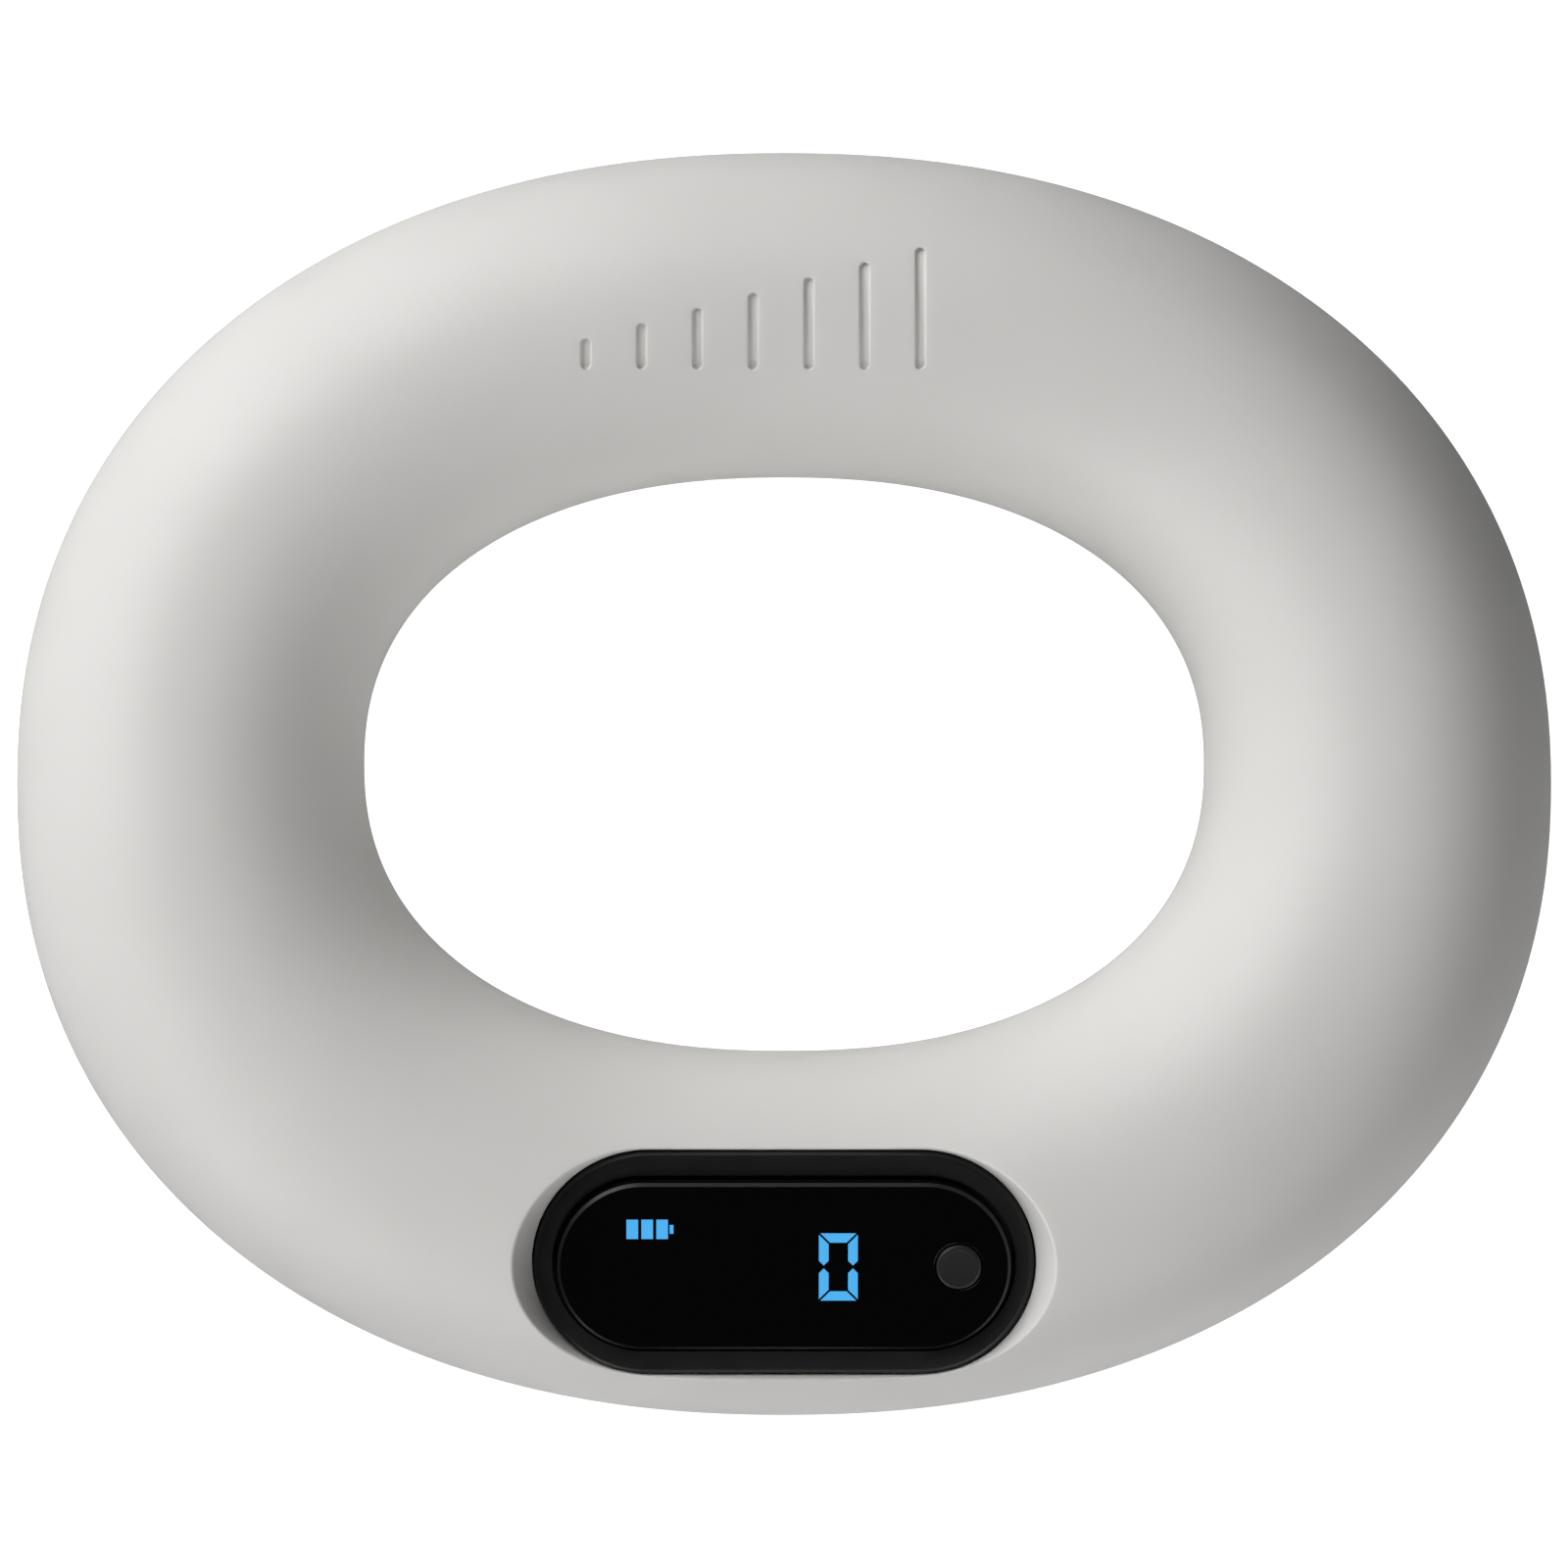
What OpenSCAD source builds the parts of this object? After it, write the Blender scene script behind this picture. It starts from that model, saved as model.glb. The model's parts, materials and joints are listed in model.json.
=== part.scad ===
// Hand dynamometer: an oval silicone grip ring round a spring-steel hoop,
// with a pull-out display module in a flared pocket in its lower band.
// The ring lies on its flat back. +Z is the front, +Y the top, +X the right.

/* [Grip ring] */
// Width of the ring, left to right
ring_w = 96; // [88:0.5:116]
// Height of the ring, top to bottom
ring_h = 79; // [65:0.5:95]
// Thickness of the ring, back to front
ring_t = 27; // [25:0.5:33]
// Width of the band at the left and at the right
band_side = 21.7; // [19:0.1:26]
// Width of the band at the top
band_top = 20.3; // [17:0.1:25]
// Width of the band at the bottom, where the display sits
band_bottom = 22.8; // [21.5:0.1:27.5]
// How square the outline is (2 is an ellipse)
outline_round = 2.18; // [2:0.01:2.6]
// How square the finger hole is
hole_round = 2.25; // [2:0.01:2.6]
// How square the cross-section of the band is
section_round = 2.2; // [2:0.01:2.6]
// How much of the round section the flat back takes away
back_cut = 1.0; // [0.6:0.1:2]

/* [Display module] */
// Length of the module
case_w = 30.9; // [28:0.1:38]
// Height of the module
case_h = 14.2; // [13.4:0.1:15]
// Depth of the module from its face to its back
case_depth = 11.2; // [10.8:0.1:12]
// Wall of the module's two case halves
case_wall = 1.0; // [0.9:0.05:1.2]
// Lean of the module's face towards the outside of the ring
lean = 13; // [8:0.5:18]
// How far the module sits outside the middle of the band
case_shift = 1.5; // [0:0.1:2]
// Gap between the module and its pocket
pocket_gap = 0.12; // [0.08:0.01:0.3]
// Slope of the pocket's flared mouth, outwards for each unit up
mouth_slope = 0.46; // [0.2:0.02:0.7]

/* [Front panel] */
// Width of the bezel at the module's two ends
bezel_end = 1.17; // [0.9:0.01:1.5]
// Width of the bezel along the module's two long sides
bezel_side = 1.52; // [1.2:0.01:1.8]
// How far the panel stands in front of the bezel
panel_proud = 0.8; // [0.2:0.05:1]
// Groove between the panel and the bezel
panel_groove = 0.28; // [0.15:0.01:0.35]
// Diameter of the push button
button_d = 2.8; // [2.2:0.1:3.2]
// Distance from the panel's end to the middle of the push button
button_inset = 3.22; // [3:0.01:4]
// Running clearance round the push button
button_gap = 0.08; // [0.05:0.01:0.12]
// How far the push button travels
button_travel = 0.3; // [0.2:0.05:0.35]

/* [Digits] */
// Width of one digit
digit_w = 2.4; // [2:0.1:2.6]
// Height of one digit
digit_h = 4.3; // [3.6:0.1:4.6]
// Width of one bar of a digit
bar_w = 0.6; // [0.4:0.05:0.7]
// Distance from digit to digit
digit_pitch = 3.9; // [3.4:0.1:4]
// Place of the last digit along the panel
last_digit_x = 3.35; // [3:0.01:3.6]

/* [Spring hoop] */
// Thickness of the spring steel
hoop_t = 1.2; // [0.8:0.1:1.6]
// Height of the spring steel strip
hoop_h = 14; // [10:0.5:15]
// Height of the strip's lower edge above the ring's back
hoop_z = 5; // [4:0.5:6]
// Silicone that is left between the contact block and the strip under it
saddle_cover = 1.0; // [0.8:0.1:1.5]

/* [Hidden] */
$fn = 64;
tiny = 0.01;

// The ring's two outlines and its cross-section
hole_w = ring_w - 2 * band_side;
hole_h = ring_h - band_top - band_bottom;
hole_y = (band_bottom - band_top) / 2;
section_half = (ring_t + back_cut) / 2;
section_z = ring_t - section_half;
stations = 90;
section_points = 29;

function power(v, n) = sign(v) * pow(abs(v), 2 / n);
function oval(t, w, h, n, y) = [w / 2 * power(cos(t), n), y + h / 2 * power(sin(t), n)];
function outer_at(t) = oval(t, ring_w, ring_h, outline_round, 0);
function hole_at(t) = oval(t, hole_w, hole_h, hole_round, hole_y);
function middle_at(t) = (outer_at(t) + hole_at(t)) / 2;
// Height of the ring's front where u runs from -1 to 1 across the band
function front_z(u) = section_z + section_half * pow(1 - pow(abs(u), section_round), 1 / section_round);
// Angle round the section at which the flat back starts
back_angle = acos(pow(section_z / section_half, section_round / 2));
function section_angle(i) = back_angle + (360 - 2 * back_angle) * i / (section_points - 1);
function ring_point(t, a) =
    let (u = power(sin(a), section_round), z = section_z - section_half * power(cos(a), section_round),
        across = (outer_at(t) - hole_at(t)) / 2, p = middle_at(t) + across * u)
    [p.x, p.y, abs(z) < tiny ? 0 : z];

// The module's frame: its origin is the middle of the bezel's face
band_mid_y = -(ring_h - band_bottom) / 2;
case_y = band_mid_y - case_shift;
face_sink = 0.05;
case_top_y = case_y + case_h / 2 * cos(lean);
case_z = front_z((case_top_y - band_mid_y) / (band_bottom / 2)) - face_sink - case_h / 2 * sin(lean);
pocket_floor = -case_depth - 0.15;
mouth_start = -0.2;
mouth_top = 8;

// Levels inside the module, below the bezel's face
tape_t = 0.15;
ledge_top = -0.8;
ledge_bottom = -1.5;
ledge_w = 0.55;
panel_bottom = ledge_top + tape_t;
board_top = -2.4;
board_t = 0.8;
board_bottom = board_top - board_t;
case_split = -5.0;
rear_floor = 1.0;
tongue_h = 0.8;
tongue_t = 0.4;
slip = 0.03;
inner_w = case_w - 2 * case_wall;
inner_h = case_h - 2 * case_wall;
panel_w = case_w - 2 * (bezel_end + panel_groove);
panel_h = case_h - 2 * (bezel_side + panel_groove);
button_x = panel_w / 2 - button_inset;
opening_w = panel_w + 2 * panel_groove;
opening_h = panel_h + 2 * panel_groove;
aperture_w = panel_w - 2 * ledge_w;
aperture_h = panel_h - 2 * ledge_w;
bezel_edge = 0.35;
panel_edge = 0.25;

// Screw bosses, in the corners of the module
boss_r = 1.25;
boss_x = case_w / 2 - 2.95;
boss_y = 3.0;
screw_r = 0.7;
screw_hole_r = 0.78;
screw_head_r = 1.05;
screw_head_h = 0.7;
screw_sunk_h = 0.8;
screw_tip = -2.6;

// Parts on the board
bar_end = -1.9;
bar_mitre = 0.09;
bar_slip = 0.02;
baffle_edge = 1.05;
led_size = [0.5, 0.3, 0.25];
cell_h = 10;
cell_t = 4.5;
cell_room = 0.25;
cell_top = -4.75;
cell_gap = 0.03;
pad_inset = 0.3;
front_pad_top = -4.35;
switch_size = [2.8, 2.8, 0.8];
cap_proud = 0.2;
cap_flange_r = button_d / 2 + 0.4;
cap_flange_h = 0.35;
cap_stem_r = 0.8;
cap_bottom = -1.25;
plunger_r = 0.6;
plunger_end = board_top + 0.15 + button_travel;

// Passive parts and chips on the back of the board
controller_size = [5, 5, 0.95];
controller_x = 4.5;
amplifier_size = [3.6, 3.2, 0.95];
amplifier_x = -3.2;
charger_size = [2.2, 1.3, 0.85];
charger_x = -boss_x + 1.9;
small_part = [1, 0.5, 0.45];
large_part = [0.8, 1.6, 0.8];
small_part_y = 4.2;
large_part_x = boss_x - 2.9;

// The link between the module and the hoop's gauges
stud_r = 0.45;
stud_rim = 0.15;
stud_pitch = 1.5;
stud_count = 4;
stud_row = stud_pitch * (stud_count - 1);
stud_x = -case_w / 2 + 2.55 + stud_row;
flex_t = 0.15;
flex_w = 2.6;
foot_x = stud_x + 1.15;
cell_left = foot_x + flex_t + 0.1;
cell_right = boss_x - boss_r - cell_room;
cell_size = [cell_right - cell_left, cell_h, cell_t];
cell_x = (cell_left + cell_right) / 2;
block_size = [stud_row + 2, 3.4, 2.0];
block_x = stud_x - stud_row / 2;
block_top = pocket_floor - 0.05;
block_bottom = block_top - block_size.z;
block_clear = 0.1;
leaf_gap = 0.04;
leaf_t = 0.15;
leaf_w = 0.7;
leaf_slot = [1.1, 2.4, 1.25];

// The spring hoop, lower under the display module, and its gauge
hoop_gap = 0.08;
saddle_half = case_w / 2 + 2.6;
saddle_h = case_z + block_bottom * cos(lean) - block_size.y / 2 * sin(lean) - saddle_cover - hoop_z;
inner_face = -hoop_t / 2;
gauge_t = 0.12;
gauge_half = 4;
gauge_edge = 0.5;
flex_edge = 1.2;
flex_clear = 0.3;
flex_x0 = block_x - flex_w / 2;
flex_top = case_z + block_bottom * cos(lean) - flex_clear;
hoop_points = 120;

module at_case() {
    translate([0, case_y, case_z]) rotate([lean, 0, 0]) children();
}

// A stadium plate from height z0 up to z1
module slab(w, h, z0, z1) {
    translate([0, 0, z0]) linear_extrude(z1 - z0) {
        square([w - h, h], center = true);
        for (s = [-1, 1]) translate([s * (w - h) / 2, 0]) circle(d = h);
    }
}

// A stadium plate that grows by grow on every side from z0 up to z1
module flared_slab(w, h, z0, z1, grow) {
    straight = w - h;
    side = [[-h / 2, z0], [h / 2, z0], [h / 2 + grow, z1], [-h / 2 - grow, z1]];
    rotate([90, 0, 90]) linear_extrude(straight, center = true) polygon(side);
    for (s = [-1, 1]) translate([s * straight / 2, 0, z0])
        cylinder(h = z1 - z0, r1 = h / 2, r2 = h / 2 + grow);
}

module box(size, x, y, z0) {
    translate([x - size.x / 2, y - size.y / 2, z0]) cube(size);
}

module rod(r, z0, z1) {
    translate([0, 0, z0]) cylinder(h = z1 - z0, r = r);
}

module at_bosses() {
    for (x = [-boss_x, boss_x], y = [-boss_y, boss_y]) translate([x, y, 0]) children();
}

// The whole oval ring, as rings of points round its cross-section
module ring_body() {
    n = section_points;
    points = [for (s = [0 : stations - 1], i = [0 : n - 1])
        ring_point(360 * s / stations, section_angle(i))];
    faces = [for (s = [0 : stations - 1], i = [0 : n - 1])
        let (s2 = (s + 1) % stations, i2 = (i + 1) % n)
        each [[s * n + i, s * n + i2, s2 * n + i2], [s * n + i, s2 * n + i2, s2 * n + i]]];
    polyhedron(points, faces, convexity = 6);
}

// A wall along the middle of the band, between two distances from it (positive is outwards)
module band_wall(near, far, z0, z1) {
    function shifted(t, d) =
        let (across = outer_at(t) - hole_at(t)) middle_at(t) + across / norm(across) * d;
    angles = [for (i = [0 : hoop_points - 1]) 360 * i / hoop_points];
    translate([0, 0, z0]) linear_extrude(z1 - z0) difference() {
        polygon([for (t = angles) shifted(t, far)]);
        polygon([for (t = angles) shifted(t, near)]);
    }
}

// The hoop's shape, larger by gap on every side for its channel in the silicone
module hoop_shape(gap) {
    cut_half = saddle_half - gap;
    difference() {
        band_wall(-hoop_t / 2 - gap, hoop_t / 2 + gap, hoop_z - gap, hoop_z + hoop_h + gap);
        translate([-cut_half, -ring_h, hoop_z + saddle_h + gap])
            cube([2 * cut_half, ring_h + hole_y - hole_h / 2, ring_t]);
    }
}

// A strip on the hoop's inner face, kept between two places along the module
module inner_strip(near, far, x0, x1, z0, z1) {
    intersection() {
        band_wall(near, far, z0, z1);
        translate([x0, -ring_h, z0 - 1]) cube([x1 - x0, ring_h - 5, z1 - z0 + 2]);
    }
}

module grip_ring() {
    flex_far = inner_face - gauge_t - flex_t - flex_clear;
    color([0.83, 0.82, 0.80]) difference() {
        ring_body();
        at_case() {
            slab(case_w + 2 * pocket_gap, case_h + 2 * pocket_gap, pocket_floor, mouth_top);
            flared_slab(case_w + 2 * pocket_gap, case_h + 2 * pocket_gap, mouth_start, mouth_top,
                (mouth_top - mouth_start) * mouth_slope);
            box(block_size + [2, 2, 3] * block_clear, block_x, 0, block_bottom - block_clear);
        }
        hoop_shape(hoop_gap);
        inner_strip(flex_far, inner_face + tiny, flex_x0 - flex_clear, gauge_half + flex_clear,
            hoop_z - hoop_gap, hoop_z + saddle_h + hoop_gap);
        inner_strip(flex_far, inner_face - gauge_t + flex_clear, flex_x0 - flex_clear,
            flex_x0 + flex_w + flex_clear, hoop_z + flex_edge / 2, flex_top + 2 * flex_clear);
    }
}

module spring_hoop() {
    color([0.62, 0.63, 0.65]) hoop_shape(0);
}

// The foil gauge on the inner face of the hoop's saddle
module strain_gauges() {
    color([0.85, 0.55, 0.20])
        inner_strip(inner_face - gauge_t, inner_face - tiny, -gauge_half, gauge_half,
            hoop_z + gauge_edge, hoop_z + saddle_h - gauge_edge);
}

// A flat lead along the saddle and up to the contact block
module gauge_flex() {
    near = inner_face - gauge_t - flex_t;
    far = inner_face - gauge_t - tiny;
    color([0.80, 0.45, 0.12]) union() {
        inner_strip(near, far, flex_x0, -gauge_half + 1.5, hoop_z + flex_edge, hoop_z + saddle_h - flex_edge);
        inner_strip(near, far, flex_x0, flex_x0 + flex_w, hoop_z + flex_edge, flex_top);
    }
}

// The block in the pocket's floor that holds the four contact springs
module contact_block() {
    color([0.12, 0.12, 0.13]) at_case() difference() {
        box(block_size, block_x, 0, block_bottom);
        for (i = [0 : stud_count - 1])
            box(leaf_slot + [0, 0, 1], stud_x - i * stud_pitch, 0, block_top - leaf_slot.z);
    }
}

// Bent leaf springs, one under each stud
module contact_springs() {
    tip = -case_depth - leaf_gap - block_top;
    base = 0.05 - leaf_slot.z;
    foot = leaf_slot.y / 2 - 0.1;
    crest = 0.35;
    leaf = [[-foot, base], [foot, base], [foot, base + leaf_t], [crest - foot, base + leaf_t],
        [crest - 0.2, tip - leaf_t], [crest + 0.3, tip - leaf_t], [crest + 0.3, tip], [crest - 0.3, tip],
        [-foot, base + leaf_t]];
    color([0.85, 0.68, 0.30]) at_case() for (i = [0 : stud_count - 1])
        translate([stud_x - i * stud_pitch, 0, block_top]) rotate([90, 0, 90])
            linear_extrude(leaf_w, center = true) polygon(leaf);
}

module upper_case() {
    color([0.10, 0.10, 0.10]) at_case() difference() {
        union() {
            difference() {
                union() {
                    slab(case_w, case_h, case_split, -bezel_edge);
                    flared_slab(case_w, case_h, -bezel_edge, 0, -bezel_edge);
                }
                slab(inner_w, inner_h, case_split - 1, ledge_bottom);
            }
            intersection() {
                at_bosses() rod(boss_r, case_split, ledge_bottom + tiny);
                slab(case_w - case_wall, case_h - case_wall, case_split, 0);
            }
        }
        slab(opening_w, opening_h, ledge_top, 1);
        slab(aperture_w, aperture_h, ledge_bottom - 1, 1);
        at_bosses() rod(screw_r + slip, case_split - 1, screw_tip + 0.3);
    }
}

// The outline of one of a digit's seven bars; clear makes it larger for its slot
module bar_outline(bar, clear) {
    mitre = bar_mitre - clear * sqrt(2);
    w = digit_w / 2 + clear;
    h = digit_h / 2 + clear;
    s = bar_w + 2 * clear;
    half = s / 2;
    top = [[-w + mitre, h], [w - mitre, h], [w - s - mitre, h - s], [-w + s + mitre, h - s]];
    side = [[-w, h - mitre], [-w + s, h - s - mitre], [-w + s, half + mitre],
        [-w + half, mitre], [-w, half + mitre]];
    middle = [[-w + half + mitre, 0], [-w + s + mitre, half], [w - s - mitre, half],
        [w - half - mitre, 0], [w - s - mitre, -half], [-w + s + mitre, -half]];
    if (bar == 0) polygon(top);
    if (bar == 1) polygon(side);
    if (bar == 2) mirror([1, 0]) polygon(side);
    if (bar == 3) polygon(middle);
    if (bar == 4) mirror([0, 1]) polygon(side);
    if (bar == 5) mirror([1, 0]) mirror([0, 1]) polygon(side);
    if (bar == 6) mirror([0, 1]) polygon(top);
}

// The named bars of the digit at x, standing through the panel and the baffle
module digit_bars(x, bars, clear, z0, z1) {
    for (bar = bars) translate([x, 0, z0]) linear_extrude(z1 - z0) bar_outline(bar, clear);
}

zero_bars = [0, 1, 2, 4, 5, 6];
every_bar = [0, 1, 2, 3, 4, 5, 6];
blank_digits = [for (i = [1, 2]) last_digit_x - i * digit_pitch];
bar_top = panel_proud - 0.005;

// The charge gauge: three blocks and a small end cap, left of the digits
mark_w = 0.72;
mark_h = 1.24;
mark_count = 3;
mark_gap = 0.2;
mark_cap = [0.24, 0.56];
mark_cap_gap = 0.1;
mark_y = 2.4;
mark_room = 1.16;
mark_cap_x = last_digit_x - 2 * digit_pitch - digit_w / 2 - mark_room - mark_cap.x / 2;
mark_x = mark_cap_x - mark_cap.x / 2 - mark_cap_gap - mark_w / 2 - (mark_count - 1) * (mark_w + mark_gap);

function mark_place(i) = mark_x + i * (mark_w + mark_gap);

module charge_marks(clear, z0, z1) {
    grow = [2 * clear, 2 * clear, z1 - z0];
    for (i = [0 : mark_count - 1]) box([mark_w, mark_h, 0] + grow, mark_place(i), mark_y, z0);
    box([mark_cap.x, mark_cap.y, 0] + grow, mark_cap_x, mark_y, z0);
}

module all_slots(z0, z1) {
    digit_bars(last_digit_x, every_bar, bar_slip, z0, z1);
    for (x = blank_digits) digit_bars(x, every_bar, bar_slip, z0, z1);
    charge_marks(bar_slip, z0, z1);
}

module front_panel() {
    color([0.02, 0.02, 0.02]) at_case() difference() {
        union() {
            slab(panel_w, panel_h, panel_bottom, panel_proud - panel_edge);
            flared_slab(panel_w, panel_h, panel_proud - panel_edge, panel_proud, -panel_edge);
        }
        translate([button_x, 0, 0]) rod(button_d / 2 + button_gap, panel_bottom - 1, panel_proud + 1);
        all_slots(panel_bottom - 1, panel_proud + 1);
    }
}

module panel_tape() {
    color([0.15, 0.15, 0.15]) at_case() difference() {
        slab(panel_w - 0.3, panel_h - 0.3, ledge_top, panel_bottom);
        slab(aperture_w + 0.1, aperture_h + 0.1, ledge_top - 1, panel_bottom + 1);
    }
}

module lit_bars() {
    color([0.31, 0.70, 0.95]) at_case() digit_bars(last_digit_x, zero_bars, 0, bar_end, bar_top);
}

module dark_bars() {
    color([0.03, 0.03, 0.04]) at_case() {
        digit_bars(last_digit_x, [3], 0, bar_end, bar_top);
        for (x = blank_digits) digit_bars(x, every_bar, 0, bar_end, bar_top);
    }
}

module charge_bars() {
    color([0.31, 0.60, 0.92]) at_case() charge_marks(0, bar_end, bar_top);
}

// Keeps the light of each bar to itself
module light_baffle() {
    left = mark_x - mark_w / 2 - baffle_edge;
    right = last_digit_x + digit_w / 2 + baffle_edge;
    size = [right - left, 2 * (mark_y + mark_h / 2 + baffle_edge), panel_bottom - board_top - 2 * slip];
    color([0.20, 0.20, 0.20]) at_case() difference() {
        box(size, (left + right) / 2, 0, board_top + slip);
        all_slots(board_top - 1, panel_bottom + 1);
        at_bosses() rod(boss_r + 0.2, board_top - 1, panel_bottom + 1);
    }
}

// Middle of each bar of a digit, in the order of its outlines
function bar_middle(bar) =
    let (x = (digit_w - bar_w) / 2, y = (digit_h - bar_w) / 2)
    [[0, y], [-x, y / 2], [x, y / 2], [0, 0], [-x, -y / 2], [x, -y / 2], [0, -y]][bar];

module bar_leds() {
    color([0.9, 0.9, 0.75]) at_case() {
        for (x = concat([last_digit_x], blank_digits), bar = every_bar) {
            m = bar_middle(bar);
            upright = m.x != 0;
            size = upright ? [led_size.y, led_size.x, led_size.z] : led_size;
            box(size, x + m.x, m.y, board_top);
        }
        for (i = [0 : mark_count - 1]) box(led_size, mark_place(i), mark_y, board_top);
    }
}

module main_board() {
    gap = 0.2;
    color([0.05, 0.30, 0.16]) at_case() difference() {
        slab(inner_w - 2 * gap, inner_h - 2 * gap, board_bottom, board_top);
        at_bosses() rod(boss_r + gap, board_bottom - 1, board_top + 1);
    }
}

// A flat chip with a row of legs along each long side
module chip(size, x, y, legs) {
    leg = [0.25, 0.5, 0.5];
    standoff = 0.1;
    box([size.x, size.y, size.z - standoff], x, y, board_bottom - size.z);
    pitch = size.x / legs;
    for (i = [0 : legs - 1], s = [-1, 1])
        box(leg, x - size.x / 2 + (i + 0.5) * pitch, y + s * (size.y / 2 + 0.2), board_bottom - leg.z);
}

module controller_chip() {
    color([0.08, 0.08, 0.09]) at_case() chip(controller_size, controller_x, 0, 6);
}

module gauge_amplifier() {
    color([0.08, 0.08, 0.09]) at_case() chip(amplifier_size, amplifier_x, 0, 5);
}

module charger_chip() {
    color([0.08, 0.08, 0.09]) at_case() chip(charger_size, charger_x, 0, 3);
}

// Resistors and capacitors in rows beside the chips
module board_parts() {
    color([0.62, 0.50, 0.34]) at_case() {
        for (x = [-5.6 : 1.6 : 1], y = [-small_part_y, small_part_y])
            box(small_part, x, y, board_bottom - small_part.z);
        for (i = [-1 : 1]) box(large_part, large_part_x, i * 2.2, board_bottom - large_part.z);
    }
}

module tact_switch() {
    color([0.75, 0.75, 0.77]) at_case() translate([button_x, 0, 0]) difference() {
        box(switch_size, 0, 0, board_top);
        rod(plunger_r + 0.05, board_top + 0.1, board_top + switch_size.z + 1);
    }
}

// A soft ring behind the panel that keeps sweat out of the switch
module button_gasket() {
    color([0.25, 0.25, 0.25]) at_case() translate([button_x, 0, 0]) difference() {
        rod(cap_flange_r + 0.65, panel_bottom - 0.35, panel_bottom);
        rod(cap_flange_r + 0.15, panel_bottom - 1, panel_bottom + 1);
    }
}

module pouch_cell() {
    color([0.75, 0.76, 0.78]) at_case() box(cell_size, cell_x, 0, cell_top - cell_size.z);
}

module cell_pads() {
    cell_bottom = cell_top - cell_size.z;
    floor_z = -case_depth + rear_floor;
    pad = [cell_size.x - 2 * pad_inset, cell_size.y - 2 * pad_inset];
    color([0.30, 0.30, 0.32]) at_case() {
        box([pad.x, pad.y, front_pad_top - cell_top - cell_gap], cell_x, 0, cell_top + cell_gap);
        box([pad.x, pad.y, cell_bottom - floor_z - 2 * cell_gap], cell_x, 0, floor_z + cell_gap);
    }
}

module rear_case() {
    color([0.11, 0.11, 0.11]) at_case() difference() {
        union() {
            difference() {
                slab(case_w, case_h, -case_depth, case_split);
                slab(inner_w, inner_h, -case_depth + rear_floor, case_split + 1);
            }
            intersection() {
                at_bosses() rod(boss_r, -case_depth + rear_floor - tiny, case_split);
                slab(case_w - case_wall, case_h - case_wall, -case_depth, 0);
            }
            difference() {
                slab(inner_w - 2 * slip, inner_h - 2 * slip, case_split - 1, case_split + tongue_h);
                slab(inner_w - 2 * tongue_t, inner_h - 2 * tongue_t, case_split - 2, case_split + 2);
                at_bosses() rod(boss_r + 0.1, case_split, case_split + 2);
            }
        }
        seal_ring(0.02);
        at_bosses() {
            rod(screw_hole_r, -case_depth - 1, case_split + 1);
            rod(screw_head_r + 0.1, -case_depth - 1, -case_depth + screw_sunk_h);
        }
        for (i = [0 : stud_count - 1]) translate([stud_x - i * stud_pitch, 0, 0])
            rod(stud_r + 0.01, -case_depth - 1, -case_depth + rear_floor + 1);
    }
}

// The seal's ring, in the middle of the case wall; gap makes its groove
module seal_ring(gap) {
    inset = case_wall * 0.35;
    w = case_wall * 0.32;
    difference() {
        slab(case_w - 2 * (inset - gap), case_h - 2 * (inset - gap), case_split - 0.3 - gap, case_split);
        slab(case_w - 2 * (inset + w + gap), case_h - 2 * (inset + w + gap), case_split - 1, case_split + 1);
    }
}

module case_seal() {
    color([0.75, 0.25, 0.15]) at_case() seal_ring(0);
}

module case_screws() {
    head_z = -case_depth + screw_sunk_h;
    color([0.70, 0.70, 0.72]) at_case() at_bosses() difference() {
        union() {
            rod(screw_head_r, head_z - screw_head_h, head_z);
            rod(screw_r, head_z - tiny, screw_tip);
        }
        rotate([0, 0, 45]) box([1.1, 0.25, 0.3], 0, 0, head_z - screw_head_h - 0.01);
        rotate([0, 0, -45]) box([1.1, 0.25, 0.3], 0, 0, head_z - screw_head_h - 0.01);
    }
}

module contact_studs() {
    color([0.90, 0.75, 0.35]) at_case() for (i = [0 : stud_count - 1])
        translate([stud_x - i * stud_pitch, 0, 0]) {
            rod(stud_r, -case_depth, -case_depth + rear_floor + 0.3);
            rod(stud_r + stud_rim, -case_depth + rear_floor + 0.01, -case_depth + rear_floor + 0.2);
        }
}

// Carries the studs' signals up to the board
module stud_flex() {
    foot_z = -case_depth + rear_floor + 0.31;
    foot_left = stud_x - stud_row - stud_r - stud_rim;
    foot_w = foot_x + flex_t - foot_left;
    color([0.80, 0.45, 0.12]) at_case() union() {
        box([foot_w, flex_w, flex_t], foot_left + foot_w / 2, 0, foot_z);
        box([flex_t, flex_w, board_bottom - foot_z], foot_x + flex_t / 2, 0, foot_z);
    }
}

module button_cap() {
    edge = 0.15;
    color([0.16, 0.16, 0.16]) at_case() translate([button_x, 0, 0]) union() {
        rod(button_d / 2, panel_bottom - cap_flange_h, panel_proud + cap_proud - edge);
        translate([0, 0, panel_proud + cap_proud - edge])
            cylinder(h = edge, r1 = button_d / 2, r2 = button_d / 2 - edge);
        rod(cap_flange_r, panel_bottom - 0.05 - cap_flange_h, panel_bottom - 0.05);
        rod(cap_stem_r, cap_bottom, panel_bottom - cap_flange_h);
    }
}

module switch_plunger() {
    color([0.10, 0.10, 0.10]) at_case() translate([button_x, 0, 0])
        rod(plunger_r, plunger_end, cap_bottom);
}

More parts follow.
